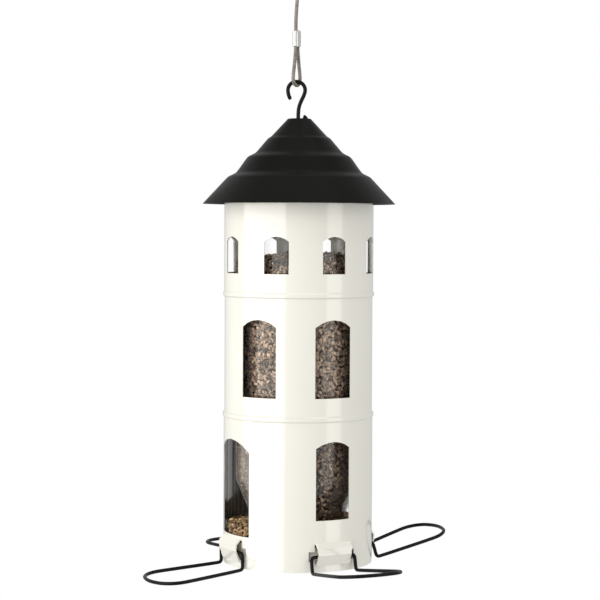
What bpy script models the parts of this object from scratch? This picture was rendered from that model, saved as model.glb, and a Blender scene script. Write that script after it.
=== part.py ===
"""Hanging bird feeder in the form of a small round tower.

A painted sheet-steel shell with window openings holds a clear seed container, which
narrows to a funnel and a spout over a tray. Four wire perches hook behind pockets
pressed out of the wall. A wire bail across the shell's mouth hangs in the eye of a hook,
which goes up through the loose stepped roof and into the loop of a short steel cable.

Heights are given above the tower's bottom edge. The frame's origin is at the inside of
the cable's upper loop, so everything hangs below it. +Z is up, and the two large
feeding ports face +X and -X.
"""

import math

import bmesh
import bpy
from mathutils import Matrix, Vector

# Clearances
GAP = 0.0003  # between neighbouring pieces that would touch
BORE_GAP = 0.0002  # round a cable inside its ferrule

# Tower shell
TOWER_RADIUS = 0.0620
EAVES = 0.2970  # height of the roof's lower edge, which the top of the tower follows
TOWER_WALL = 0.0010
TOWER_SEGMENTS = 64
WAIST_INSET = 0.0005  # of the middle tier, between the beads
BEAD_HEIGHTS = (0.1230, 0.2226)  # centres of the two raised beads
BEAD_HALF = 0.0025
BEAD_PROUD = 0.0008
FOOT_LEDGE = 0.0050  # how far the turned-in bottom edge reaches under the tray
ARCH_STEPS = 6

# Openings: half width, sill, springing and crown of the arch
PORT = (0.0237, 0.0260, 0.0950, 0.1045)
LOW_WINDOW = (0.0153, 0.0417, 0.0998, 0.1050)
TALL_WINDOW = (0.0160, 0.1400, 0.1970, 0.2030)
TOP_WINDOW = (0.0104, 0.2400, 0.2660, 0.2700)
PORT_AZIMUTHS = (0, 180)
LOW_AZIMUTHS = (90, 270)
TALL_AZIMUTHS = (30, 90, 210, 270)
TOP_AZIMUTHS = tuple(range(0, 360, 45))

# Pockets pressed out of the wall, which the perches hook behind
POCKET_HALF = 0.0155
POCKET_OUT = 0.0032  # how far a pocket's face stands out from the tower
POCKET_LOW = 0.0055
POCKET_HIGH = 0.0240
POCKET_FACE = (0.0140, 0.0195)  # lower and upper edge of its flat face
SLIT = (0.0150, 0.0208)  # from and to, to each side of the pocket's middle
SLIT_HEIGHTS = (0.0090, 0.0168)

# Perches
PERCH_WIRE = 0.0030
PERCH_PIVOT = (TOWER_RADIUS - 0.0008, 0.0128)  # distance from the axis, and height
PERCH_HALF = 0.0200
PERCH_LEG = (0.0006, -0.0132)  # out and down, from the pivot
PERCH_WIDE = (0.0664, 0.0288)  # out from the pivot, and across, where it is widest
PERCH_FAR = 0.0786  # out from the pivot to where the two far runs would meet
PERCH_CORNER = 0.0180
PERCH_ROUND = 0.0390
PERCH_BEND = 0.0030
PERCH_END_GAP = 0.0010
# name: (azimuth it points to, how far it has swung up from level), in degrees
PERCHES = {
    "perch_right": (0, 14.4),
    "perch_back": (90, -1.1),
    "perch_left": (180, -4.5),
    "perch_front": (270, 7.8),
}

# Clear container, its funnel and its spout, whose legs stand on the tray
CONTAINER_WALL = 0.0012
CONTAINER_TOP = (TOWER_RADIUS - 0.0070, EAVES + 0.0010)
CONTAINER_LOW = (TOWER_RADIUS - 0.0100, 0.0685)
FUNNEL_KNEE = (0.0432, 0.0475)
SPOUT = (0.0390, 0.0330)
SPOUT_LEGS = 4
LEG_HALF_ANGLE = 9.0
OUTLET = 0.0290  # height of the spout's openings
RIM_THICK = 0.0012
CONTAINER_SEGMENTS = 48

# Tray and seed
TRAY_THICK = 0.0010
TRAY_RADIUS = TOWER_RADIUS - 0.0028
TRAY_RIM = 0.0200
TRAY_CORNER = 0.0030
DRAIN_RADIUS = 0.0020
DRAIN_CIRCLE = 0.0480
DRAIN_COUNT = 8
SEED_LEVEL = 0.2500
SEED_CROWN = 0.0060
PILE_AT_WALL = 0.0318
PILE_CREST = 0.0327

# Roof
ROOF_WALL = 0.0010
ROOF_HOLE = 0.0083
ROOF_SEGMENTS = 64
# Outer profile: radius, and height above the eaves
ROOF_TIERS = (
    (0.0095, 0.0706),
    (0.0234, 0.0557),
    (0.0259, 0.0543),
    (TOWER_RADIUS - 0.0258, 0.0421),
    (TOWER_RADIUS - 0.0193, 0.0391),
    (TOWER_RADIUS - 0.0096, 0.0255),
    (TOWER_RADIUS - 0.0030, 0.0225),
    (TOWER_RADIUS + 0.0180, 0.0000),
)

# Hook, in a plane turned about the tower's axis. Places are (across, height).
HANG_AZIMUTH = -28.0
HOOK_WIRE = 0.0033
BAIL_WIRE = 0.0030
HOOK_BEND = (-0.0024, EAVES + 0.0942)
HOOK_BEND_RADIUS = 0.00555 + HOOK_WIRE / 2
HOOK_BEND_SWEEP = (192.0, -12.0)  # from the tip's side over to the shank's, in degrees
HOOK_TIP = (-0.0073, EAVES + 0.0864)
HOOK_TIP_RISE = (-0.0066, -0.0044)  # from the bend's middle to a point above the tip
# The shank's points below the bend, from its middle, and above the eye, from its side
SHANK_FROM_BEND = ((0.0059, -0.0050), (0.0039, -0.0088))
SHANK_FROM_EYE = ((0.0008, 0.0122), (0.0001, 0.0080), (0.0, 0.0035))
HOOK_STEPS = 14
EYE = (0.0025, EAVES + 0.0692)
EYE_RADIUS = (HOOK_WIRE + BAIL_WIRE) / 2 + GAP
EYE_STEPS = 18
EYE_SWEEP = 258.0

# Bail, across the hook's plane
BAIL_FOOT = (TOWER_RADIUS - 0.0020, EAVES + 0.0060)
BAIL_FOOT_OUT = 0.0035  # past the tower's wall
BAIL_BEND = 0.0030
BAIL_HOLE = BAIL_WIRE + 0.0015

# Cable, its two loops and their ferrules
CABLE_WIRE = 0.0030
LOOP_TURN = 60.0  # of the plane of both loops, from the hook's plane
STRAND_HALF = 0.0016
FERRULE_WALL = 0.0010
FERRULE_LENGTH = 0.0130
LOWER_FERRULE = EAVES + 0.1300
UPPER_FERRULE = EAVES + 0.1890
CABLE_STEPS = 2
HANG_HEIGHT = EAVES + 0.2310  # of the inside of the upper loop, where the origin lies

# The cable's route from its lower tail round the hook, up to the upper ferrule and round
# the loop that hangs it: (offset of the loop's line, across the loop, height above eaves).
CABLE_ROUTE = (
    (-0.0024, 0.0016, 0.1436),
    (-0.0024, 0.0016, 0.1370),
    (-0.0024, 0.0016, 0.1300),
    (-0.0024, 0.0023, 0.1235),
    (-0.0024, 0.0037, 0.1150),
    (-0.0024, 0.0052, 0.1075),
    (-0.0024, 0.0055, 0.1030),
    (-0.0024, 0.0044, 0.1000),
    (-0.0024, 0.0023, 0.0985),
    (-0.0024, 0.0000, 0.0981),
    (-0.0024, -0.0023, 0.0985),
    (-0.0024, -0.0044, 0.1000),
    (-0.0024, -0.0055, 0.1030),
    (-0.0024, -0.0052, 0.1075),
    (-0.0024, -0.0037, 0.1150),
    (-0.0024, -0.0023, 0.1235),
    (-0.0024, -0.0016, 0.1300),
    (-0.0024, -0.0016, 0.1430),
    (-0.0022, -0.0016, 0.1550),
    (-0.0013, -0.0016, 0.1690),
    (-0.0003, -0.0016, 0.1810),
    (0.0, -0.0016, 0.1890),
    (0.0, -0.0016, 0.2020),
    (0.0, -0.0026, 0.2100),
    (0.0, -0.0046, 0.2175),
    (0.0, -0.0060, 0.2240),
    (0.0, -0.0055, 0.2290),
    (0.0, -0.0032, 0.2317),
    (0.0, 0.0000, 0.2325),
    (0.0, 0.0032, 0.2317),
    (0.0, 0.0055, 0.2290),
    (0.0, 0.0060, 0.2240),
    (0.0, 0.0046, 0.2175),
    (0.0, 0.0026, 0.2100),
    (0.0, 0.0016, 0.2020),
    (0.0, 0.0016, 0.1950),
    (0.0, 0.0016, 0.1884),
)


def clear_scene():
    for item in list(bpy.data.objects):
        bpy.data.objects.remove(item)


def material(name, colour, roughness, metallic=0.0, alpha=1.0):
    made = bpy.data.materials.new(name)
    made.use_nodes = True
    made.diffuse_color = (*colour, alpha)
    shader = made.node_tree.nodes["Principled BSDF"]
    shader.inputs["Base Color"].default_value = (*colour, 1.0)
    shader.inputs["Roughness"].default_value = roughness
    shader.inputs["Metallic"].default_value = metallic
    shader.inputs["Alpha"].default_value = alpha
    return made


def empty(name, place, parent=None):
    made = bpy.data.objects.new(name, None)
    made.location = place
    made.parent = parent
    bpy.context.collection.objects.link(made)
    return made


def place(name, data, finish, parent, turn=0.0):
    made = bpy.data.objects.new(name, data)
    data.materials.append(finish)
    made.parent = parent
    made.rotation_euler = (0.0, 0.0, math.radians(turn))
    bpy.context.collection.objects.link(made)
    return made


def mesh_of(name, bm):
    bmesh.ops.remove_doubles(bm, verts=bm.verts, dist=1e-7)
    bmesh.ops.recalc_face_normals(bm, faces=bm.faces)
    mesh = bpy.data.meshes.new(name)
    bm.to_mesh(mesh)
    bm.free()
    mesh.shade_smooth()
    mesh.set_sharp_from_angle(angle=math.radians(35))
    return mesh


def ring_of(bm, outline):
    """A closed run of edges through (radius, height) points in the XZ plane."""
    points = [bm.verts.new((radius, 0.0, height)) for radius, height in outline]
    edges = [bm.edges.new((a, b)) for a, b in zip(points, points[1:] + points[:1])]
    return points, edges


def turned(name, outline, segments):
    """A full turn of a closed outline round the Z axis."""
    bm = bmesh.new()
    points, edges = ring_of(bm, outline)
    bmesh.ops.spin(
        bm,
        geom=points + edges,
        cent=(0, 0, 0),
        axis=(0, 0, 1),
        angle=2 * math.pi,
        steps=segments,
        use_merge=True,
    )
    return mesh_of(name, bm)


def arch_outline(half, sill, spring, crown):
    """A window with a segmental arch, as (across, height) points."""
    rise = crown - spring
    radius = (half * half + rise * rise) / (2 * rise)
    sweep = math.asin(half / radius)
    angles = [sweep * (1 - 2 * i / ARCH_STEPS) for i in range(ARCH_STEPS + 1)]
    arch = [(radius * math.sin(a), crown - radius * (1 - math.cos(a))) for a in angles]
    return [(-half, sill), (half, sill)] + arch


def add_prism(bm, outline, inner, outer, azimuth):
    """A prism of an (across, height) outline, from one radius out to another."""
    turn = Matrix.Rotation(math.radians(azimuth), 4, "Z")
    near = [bm.verts.new(turn @ Vector((inner, u, z))) for u, z in outline]
    far = [bm.verts.new(turn @ Vector((outer, u, z))) for u, z in outline]
    bm.faces.new(near)
    bm.faces.new(far)
    for i in range(len(outline)):
        j = (i + 1) % len(outline)
        bm.faces.new((near[i], near[j], far[j], far[i]))


def helper(name, bm, parent):
    """A shape that only cuts or joins, left out of the renders."""
    made = bpy.data.objects.new(name, mesh_of(name, bm))
    made.parent = parent
    made.hide_render = True
    made.display_type = "WIRE"
    bpy.context.collection.objects.link(made)
    return made


def boolean(target, other, operation):
    step = target.modifiers.new(f"{operation.lower()}_{other.name}", "BOOLEAN")
    step.operation = operation
    step.object = other
    step.solver = "EXACT"


def filleted(corners, steps=4):
    """Points along straight runs through (point, bend radius) corners, with arcs."""
    points = [Vector(corners[0][0])]
    for (before, _), (corner, radius), (after, _) in zip(
        corners, corners[1:], corners[2:]
    ):
        corner = Vector(corner)
        back = (Vector(before) - corner).normalized()
        ahead = (Vector(after) - corner).normalized()
        half = back.angle(ahead) / 2
        start = corner + back * (radius / math.tan(half))
        centre = corner + (back + ahead).normalized() * (radius / math.sin(half))
        axis = back.cross(ahead).normalized()
        sweep = -(math.pi - 2 * half)
        for i in range(steps + 1):
            turn = Matrix.Rotation(sweep * i / steps, 3, axis)
            points.append(centre + turn @ (start - centre))
    points.append(Vector(corners[-1][0]))
    return points


def smooth_through(points, steps):
    """A Catmull-Rom curve through the points, with that many steps to each span."""
    spots = [Vector(p) for p in points]
    ends = [2 * spots[0] - spots[1]] + spots + [2 * spots[-1] - spots[-2]]
    curve = []
    for a, b, c, d in zip(ends, ends[1:], ends[2:], ends[3:]):
        for i in range(steps):
            t = i / steps
            curve.append(
                0.5
                * (
                    2 * b
                    + (c - a) * t
                    + (2 * a - 5 * b + 4 * c - d) * t * t
                    + (3 * b - a - 3 * c + d) * t**3
                )
            )
    return curve + [spots[-1]]


def wire(name, points, diameter):
    """A round wire along the points, with closed ends."""
    data = bpy.data.curves.new(name, "CURVE")
    data.dimensions = "3D"
    data.bevel_depth = diameter / 2
    data.bevel_resolution = 2
    data.use_fill_caps = True
    spline = data.splines.new("POLY")
    spline.points.add(len(points) - 1)
    for spot, point in zip(spline.points, points):
        spot.co = (*point, 1.0)
    return data


def tower_outline():
    """The shell's closed profile: three tiers between beads, and a turned-in foot."""
    waist = TOWER_RADIUS - WAIST_INSET
    low, high = BEAD_HEIGHTS
    bead = TOWER_RADIUS + BEAD_PROUD
    ledge = TOWER_RADIUS - FOOT_LEDGE
    return [
        (ledge, 0.0),
        (TOWER_RADIUS, 0.0),
        (TOWER_RADIUS, low - BEAD_HALF),
        (bead, low - BEAD_HALF / 2),
        (bead, low + BEAD_HALF / 2),
        (waist, low + BEAD_HALF),
        (waist, high - BEAD_HALF),
        (bead, high - BEAD_HALF / 2),
        (bead, high + BEAD_HALF / 2),
        (TOWER_RADIUS, high + BEAD_HALF),
        (TOWER_RADIUS, tower_top()),
        (TOWER_RADIUS - TOWER_WALL, tower_top()),
        (TOWER_RADIUS - TOWER_WALL, high + BEAD_HALF),
        (waist - TOWER_WALL, high - BEAD_HALF),
        (waist - TOWER_WALL, low + BEAD_HALF),
        (TOWER_RADIUS - TOWER_WALL, low - BEAD_HALF),
        (TOWER_RADIUS - TOWER_WALL, TOWER_WALL),
        (ledge, TOWER_WALL),
    ]


def roof_height(radius):
    """The height of the roof's outer face at a radius."""
    for (r0, z0), (r1, z1) in zip(ROOF_TIERS, ROOF_TIERS[1:]):
        if r0 <= radius <= r1:
            return EAVES + z0 + (z1 - z0) * (radius - r0) / (r1 - r0)
    return EAVES


def roof_drop():
    """How far the roof's inner face lies straight below its outer one at the eaves."""
    (r0, z0), (r1, z1) = ROOF_TIERS[-2:]
    return ROOF_WALL * math.hypot(r1 - r0, z1 - z0) / (r1 - r0)


def tower_top():
    """The height of the shell's top edge, which the roof sits on."""
    return roof_height(TOWER_RADIUS) - roof_drop() - GAP


def pocket_profile(inset):
    """Half of a pocket's bulge, as (out, height), moved in from its outer face."""
    face = TOWER_RADIUS + POCKET_OUT
    low, high = POCKET_FACE
    root = TOWER_RADIUS - 0.006
    slope = 0.4 * inset
    return [
        (root, POCKET_LOW + inset),
        (TOWER_RADIUS - inset, POCKET_LOW + inset + slope),
        (face - inset, low + slope),
        (face - inset, high - slope),
        (TOWER_RADIUS - inset, POCKET_HIGH - inset - slope),
        (root, POCKET_HIGH - inset),
    ]


def add_bar(bm, outline, half, azimuth):
    """A prism of an (out, height) outline, half to each side, turned to face azimuth."""
    turn = Matrix.Rotation(math.radians(azimuth), 4, "Z")
    near, far = (
        [bm.verts.new(turn @ Vector((out, side * half, z))) for out, z in outline]
        for side in (-1, 1)
    )
    bm.faces.new(near)
    bm.faces.new(far)
    for i in range(len(outline)):
        j = (i + 1) % len(outline)
        bm.faces.new((near[i], near[j], far[j], far[i]))


def add_box(bm, low, high, azimuth):
    turn = Matrix.Rotation(math.radians(azimuth), 4, "Z")
    middle = [(a + b) / 2 for a, b in zip(low, high)]
    size = [b - a for a, b in zip(low, high)]
    bmesh.ops.create_cube(
        bm,
        size=1.0,
        matrix=turn @ Matrix.Translation(middle) @ Matrix.Diagonal((*size, 1.0)),
    )


def pocket_bulges(parent):
    """The pockets' outer shapes, kept to what stands out from the middle of the wall."""
    bm = bmesh.new()
    for azimuth, _ in PERCHES.values():
        add_bar(bm, pocket_profile(0.0), POCKET_HALF, azimuth)
    bulges = helper("pocket_bulges", bm, parent)
    bm = bmesh.new()
    bmesh.ops.create_cone(
        bm,
        cap_ends=True,
        segments=TOWER_SEGMENTS,
        radius1=TOWER_RADIUS - TOWER_WALL / 2,
        radius2=TOWER_RADIUS - TOWER_WALL / 2,
        depth=4 * POCKET_HIGH,
    )
    boolean(bulges, helper("pocket_core", bm, parent), "DIFFERENCE")
    return bulges


def make_tower(finish, parent):
    tower = place(
        "tower_shell",
        turned("tower_shell", tower_outline(), TOWER_SEGMENTS),
        finish,
        parent,
    )
    boolean(tower, pocket_bulges(parent), "UNION")
    inner = TOWER_RADIUS - 0.012
    outer = TOWER_RADIUS + 0.008
    bm = bmesh.new()
    for sizes, azimuths in (
        (PORT, PORT_AZIMUTHS),
        (LOW_WINDOW, LOW_AZIMUTHS),
        (TALL_WINDOW, TALL_AZIMUTHS),
        (TOP_WINDOW, TOP_AZIMUTHS),
    ):
        for azimuth in azimuths:
            add_prism(bm, arch_outline(*sizes), inner, outer, azimuth)
    around = [math.radians(45 * i + 22.5) for i in range(8)]
    for side in (-90, 90):
        across = EYE[0] * (1 if side == -90 else -1)
        hole = [
            (
                across + BAIL_HOLE / 2 * math.cos(a),
                BAIL_FOOT[1] + BAIL_HOLE / 2 * math.sin(a),
            )
            for a in around
        ]
        add_prism(bm, hole, inner, outer, HANG_AZIMUTH + side)
    boolean(tower, helper("wall_openings", bm, parent), "DIFFERENCE")
    bm = bmesh.new()
    for azimuth, _ in PERCHES.values():
        add_bar(bm, pocket_profile(TOWER_WALL), POCKET_HALF + TOWER_WALL / 2, azimuth)
    boolean(tower, helper("pocket_hollows", bm, parent), "DIFFERENCE")
    bm = bmesh.new()
    for azimuth, _ in PERCHES.values():
        for side in (-1, 1):
            near, far = sorted((side * SLIT[0], side * SLIT[1]))
            add_box(
                bm,
                (inner, near, SLIT_HEIGHTS[0]),
                (outer, far, SLIT_HEIGHTS[1]),
                azimuth,
            )
    boolean(tower, helper("pocket_slits", bm, parent), "DIFFERENCE")


def make_tray(finish, parent):
    low = TOWER_WALL + GAP
    wall = TRAY_RADIUS - TRAY_THICK
    outline = [
        (0.0, low),
        (TRAY_RADIUS - TRAY_CORNER, low),
        (TRAY_RADIUS, low + TRAY_CORNER),
        (TRAY_RADIUS, TRAY_RIM),
        (wall, TRAY_RIM),
        (wall, low + TRAY_CORNER + TRAY_THICK / 2),
        (wall - TRAY_CORNER + TRAY_THICK / 2, low + TRAY_THICK),
        (0.0, low + TRAY_THICK),
    ]
    tray = place(
        "base_tray", turned("base_tray", outline, CONTAINER_SEGMENTS), finish, parent
    )
    bm = bmesh.new()
    for i in range(DRAIN_COUNT):
        angle = 2 * math.pi * (i + 0.5) / DRAIN_COUNT
        spot = (DRAIN_CIRCLE * math.cos(angle), DRAIN_CIRCLE * math.sin(angle), low)
        bmesh.ops.create_cone(
            bm,
            cap_ends=True,
            segments=10,
            radius1=DRAIN_RADIUS,
            radius2=DRAIN_RADIUS,
            depth=4 * TRAY_THICK,
            matrix=Matrix.Translation(spot),
        )
    boolean(tray, helper("drain_holes", bm, parent), "DIFFERENCE")


def tray_floor():
    return TOWER_WALL + GAP + TRAY_THICK + GAP


def make_container(finish, parent):
    """Container, funnel and spout in one, with a rim that centres it in the shell."""
    rim = TOWER_RADIUS - TOWER_WALL - GAP
    top = CONTAINER_TOP[1]
    outer = [
        (SPOUT[0], tray_floor()),
        SPOUT,
        FUNNEL_KNEE,
        CONTAINER_LOW,
        (CONTAINER_TOP[0], top - RIM_THICK),
    ]
    inner = [(r - CONTAINER_WALL, z) for r, z in reversed(outer[:-1])]
    outline = outer + [
        (rim, top - RIM_THICK),
        (rim, top),
        (CONTAINER_TOP[0] - CONTAINER_WALL, top),
    ]
    container = place(
        "seed_container",
        turned("seed_container", outline + inner, CONTAINER_SEGMENTS),
        finish,
        parent,
    )
    bm = bmesh.new()
    gap_turn = 360 / SPOUT_LEGS
    half = math.radians(gap_turn / 2 - LEG_HALF_ANGLE)
    reach = SPOUT[0] + 4 * CONTAINER_WALL
    for i in range(SPOUT_LEGS):
        turn = Matrix.Rotation(math.radians(gap_turn * i), 4, "Z")
        corners = [(0.0, 0.0)] + [
            (reach * math.cos(a), reach * math.sin(a))
            for a in (-half, -half / 3, half / 3, half)
        ]
        rings = [
            [bm.verts.new(turn @ Vector((x + 0.004, y, z))) for x, y in corners]
            for z in (-OUTLET, OUTLET)
        ]
        bm.faces.new(rings[0])
        bm.faces.new(rings[1])
        for j in range(len(corners)):
            k = (j + 1) % len(corners)
            bm.faces.new((rings[0][j], rings[0][k], rings[1][k], rings[1][j]))
    boolean(container, helper("spout_openings", bm, parent), "DIFFERENCE")


def container_radius(height):
    """The container's inner radius at a height between its funnel and its rim."""
    (r0, z0), (r1, z1) = CONTAINER_LOW, CONTAINER_TOP
    return r0 + (r1 - r0) * (height - z0) / (z1 - z0) - CONTAINER_WALL


def make_seed_column(finish, parent):
    room = CONTAINER_WALL + 2 * GAP
    outline = [
        (0.0, tray_floor()),
        (SPOUT[0] - room, tray_floor()),
        (SPOUT[0] - room, SPOUT[1]),
        (FUNNEL_KNEE[0] - room, FUNNEL_KNEE[1] + GAP),
        (CONTAINER_LOW[0] - room, CONTAINER_LOW[1] + GAP),
        (container_radius(SEED_LEVEL) - 2 * GAP, SEED_LEVEL),
        (0.0, SEED_LEVEL + SEED_CROWN),
    ]
    place(
        "seed_column",
        turned("seed_column", outline, CONTAINER_SEGMENTS // 2),
        finish,
        parent,
    )


def make_seed_pile(finish, parent):
    rim = TRAY_RADIUS - TRAY_THICK - 2 * GAP
    base = tray_floor()
    inner = SPOUT[0] + 2 * GAP
    outline = [
        (inner, base),
        (rim - TRAY_CORNER, base),
        (rim, base + TRAY_CORNER),
        (rim, PILE_AT_WALL),
        (inner, PILE_CREST),
    ]
    place("seed_pile", turned("seed_pile", outline, CONTAINER_SEGMENTS), finish, parent)


def make_roof(finish, parent):
    outer = [(r, EAVES + z) for r, z in ROOF_TIERS]
    drop = roof_drop()
    top = outer[0][1]
    inner = [(r, z - drop) for r, z in outer[1:-1]]
    inner.append((outer[-1][0] - drop, outer[-1][1]))
    shoulder = outer[0][0] - ROOF_WALL / 2
    outline = [(ROOF_HOLE, top)] + outer + inner[::-1]
    outline += [(shoulder, top - ROOF_WALL), (ROOF_HOLE, top - ROOF_WALL)]
    place("roof", turned("roof", outline, ROOF_SEGMENTS), finish, parent)


def hook_points():
    """The hook from its tip, over the bend, down its shank and round its eye."""
    steps = HOOK_STEPS
    bend_x, bend_z = HOOK_BEND
    start, end = HOOK_BEND_SWEEP
    points = [HOOK_TIP, (bend_x + HOOK_TIP_RISE[0], bend_z + HOOK_TIP_RISE[1])]
    for i in range(steps + 1):
        angle = math.radians(start + (end - start) * i / steps)
        points.append(
            (
                bend_x + HOOK_BEND_RADIUS * math.cos(angle),
                bend_z + HOOK_BEND_RADIUS * math.sin(angle),
            )
        )
    left = EYE[0] - EYE_RADIUS
    points += [(bend_x + x, bend_z + z) for x, z in SHANK_FROM_BEND]
    points += [(left + x, EYE[1] + z) for x, z in SHANK_FROM_EYE]
    for i in range(EYE_STEPS + 1):
        angle = math.radians(180 + EYE_SWEEP * i / EYE_STEPS)
        points.append(
            (
                EYE[0] + EYE_RADIUS * math.cos(angle),
                EYE[1] + EYE_RADIUS * math.sin(angle),
            )
        )
    return [(x, 0.0, z) for x, z in points]


def bail_points():
    """The bail from foot to foot, bent over the bottom of the hook's eye."""
    foot, low = BAIL_FOOT
    across = EYE[0]
    rise = EYE[1] - low
    slope = math.atan2(rise, foot)
    apex = EYE[1] + EYE_RADIUS * (1 / math.cos(slope) - 1)
    end = TOWER_RADIUS + BAIL_FOOT_OUT
    corners = [
        ((across, -end, low), 0.0),
        ((across, -foot, low), BAIL_BEND),
        ((across, 0.0, apex), EYE_RADIUS),
        ((across, foot, low), BAIL_BEND),
        ((across, end, low), 0.0),
    ]
    return filleted(corners, steps=6)


def perch_points(swing):
    """One perch round its pivot, pointing along +X, with its ends behind the pocket."""
    out, down = PERCH_LEG
    wide, spread = PERCH_WIDE
    corners = [
        ((0.0, PERCH_END_GAP / 2, 0.0), 0.0),
        ((0.0, PERCH_HALF, 0.0), PERCH_BEND),
        ((out, PERCH_HALF, down), PERCH_BEND),
        ((wide, spread, down), PERCH_CORNER),
        ((PERCH_FAR, 0.0, down), PERCH_ROUND),
        ((wide, -spread, down), PERCH_CORNER),
        ((out, -PERCH_HALF, down), PERCH_BEND),
        ((0.0, -PERCH_HALF, 0.0), PERCH_BEND),
        ((0.0, -PERCH_END_GAP / 2, 0.0), 0.0),
    ]
    turn = Matrix.Rotation(math.radians(-swing), 3, "Y")
    return [turn @ point for point in filleted(corners)]


def make_perches(parent):
    out, height = PERCH_PIVOT
    for name, (azimuth, swing) in PERCHES.items():
        finish = material(f"{name}_paint", (0.018, 0.016, 0.015), 0.35)
        turn = Matrix.Rotation(math.radians(azimuth), 3, "Z")
        axis = empty(f"{name}_axis", turn @ Vector((out, 0.0, height)), parent)
        place(name, wire(name, perch_points(swing), PERCH_WIRE), finish, axis, azimuth)


def stadium(half_long, half_wide, steps=6):
    """A slot-shaped outline with round ends, as (x, y) points."""
    run = half_long - half_wide
    points = []
    for side in (1, -1):
        for i in range(steps + 1):
            angle = math.pi * (i / steps - 0.5 + (side == -1))
            points.append(
                (
                    side * run + half_wide * math.cos(angle),
                    half_wide * math.sin(angle),
                )
            )
    return points


def make_ferrule(name, middle, low, finish, parent):
    """A crimped oval ferrule round two strands of the cable."""
    bore_wide = CABLE_WIRE / 2 + BORE_GAP
    bore_long = STRAND_HALF + bore_wide
    inner = stadium(bore_long, bore_wide)
    outer = stadium(bore_long + FERRULE_WALL, bore_wide + FERRULE_WALL)
    turn = Matrix.Rotation(math.radians(LOOP_TURN), 3, "Z")
    high = low + FERRULE_LENGTH
    bm = bmesh.new()
    rings = [
        [
            bm.verts.new(turn @ Vector((x, y, z)) + Vector((middle, 0, 0)))
            for x, y in outline
        ]
        for outline, z in ((outer, low), (outer, high), (inner, high), (inner, low))
    ]
    count = len(outer)
    for a, b in zip(rings, rings[1:] + rings[:1]):
        for i in range(count):
            j = (i + 1) % count
            bm.faces.new((a[i], a[j], b[j], b[i]))
    place(name, mesh_of(name, bm), finish, parent, HANG_AZIMUTH)


def cable_points():
    turn = Matrix.Rotation(math.radians(LOOP_TURN), 3, "Z")
    route = [
        turn @ Vector((across, 0, EAVES + height)) + Vector((middle, 0, 0))
        for middle, across, height in CABLE_ROUTE
    ]
    return smooth_through(route, CABLE_STEPS)


def main():
    clear_scene()
    black = (0.018, 0.016, 0.015)
    seed = (0.20, 0.12, 0.06)
    silver = (0.78, 0.80, 0.80)
    foot = empty("tower_foot", (0.0, 0.0, -HANG_HEIGHT))

    make_tower(material("tower_paint", (0.90, 0.89, 0.84), 0.28), foot)
    make_tray(material("tray_paint", (0.88, 0.87, 0.82), 0.30), foot)
    make_container(
        material("clear_plastic", (0.85, 0.86, 0.84), 0.10, alpha=0.25), foot
    )
    make_seed_column(material("column_seed", seed, 0.70), foot)
    make_seed_pile(material("pile_seed", seed, 0.70), foot)
    make_roof(material("roof_paint", (0.020, 0.021, 0.020), 0.45), foot)
    make_perches(foot)
    for name, points, diameter in (
        ("hook", hook_points(), HOOK_WIRE),
        ("bail", bail_points(), BAIL_WIRE),
    ):
        finish = material(f"{name}_paint", black, 0.35)
        place(name, wire(name, points, diameter), finish, foot, HANG_AZIMUTH)
    coated = material("cable_coat", (0.30, 0.27, 0.23), 0.50, metallic=0.3)
    place("cable", wire("cable", cable_points(), CABLE_WIRE), coated, foot, HANG_AZIMUTH)
    for name, middle, low in (
        ("ferrule_lower", CABLE_ROUTE[0][0], LOWER_FERRULE),
        ("ferrule_upper", CABLE_ROUTE[-1][0], UPPER_FERRULE),
    ):
        finish = material(f"{name}_metal", silver, 0.25, metallic=1.0)
        make_ferrule(name, middle, low, finish, foot)


main()
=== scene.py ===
import math
import random

import bmesh
import bpy
from mathutils import Matrix, Vector


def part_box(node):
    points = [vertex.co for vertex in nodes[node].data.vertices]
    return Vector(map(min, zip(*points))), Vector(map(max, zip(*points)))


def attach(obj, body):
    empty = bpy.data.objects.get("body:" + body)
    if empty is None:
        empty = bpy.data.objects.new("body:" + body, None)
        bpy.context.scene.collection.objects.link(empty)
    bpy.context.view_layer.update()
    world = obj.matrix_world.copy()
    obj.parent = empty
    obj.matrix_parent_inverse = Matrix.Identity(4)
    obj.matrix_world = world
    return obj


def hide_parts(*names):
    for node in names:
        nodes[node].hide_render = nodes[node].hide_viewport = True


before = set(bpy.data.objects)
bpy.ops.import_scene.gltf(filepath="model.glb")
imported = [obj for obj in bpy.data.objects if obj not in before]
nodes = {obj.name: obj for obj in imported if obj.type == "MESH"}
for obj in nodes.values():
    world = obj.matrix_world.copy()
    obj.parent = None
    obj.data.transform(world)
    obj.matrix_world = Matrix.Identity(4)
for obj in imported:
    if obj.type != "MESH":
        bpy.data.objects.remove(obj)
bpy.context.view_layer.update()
print("frame loaded:", len(nodes), "nodes")

# Heights below are above the tower's foot, and foot is where that lies in the frame.
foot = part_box("tower_shell")[0][2]

view = {
    "azimuth": -118.0,  # direction from the tower's axis to the camera, in degrees
    "distance": 1.552,
    "height": 0.275,  # above the tower's foot
    "pitch": 2.13,  # degrees down
    "roll": 0.25,
    "aside": 0.0012,
    "lens": 112.0,
}


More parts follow.
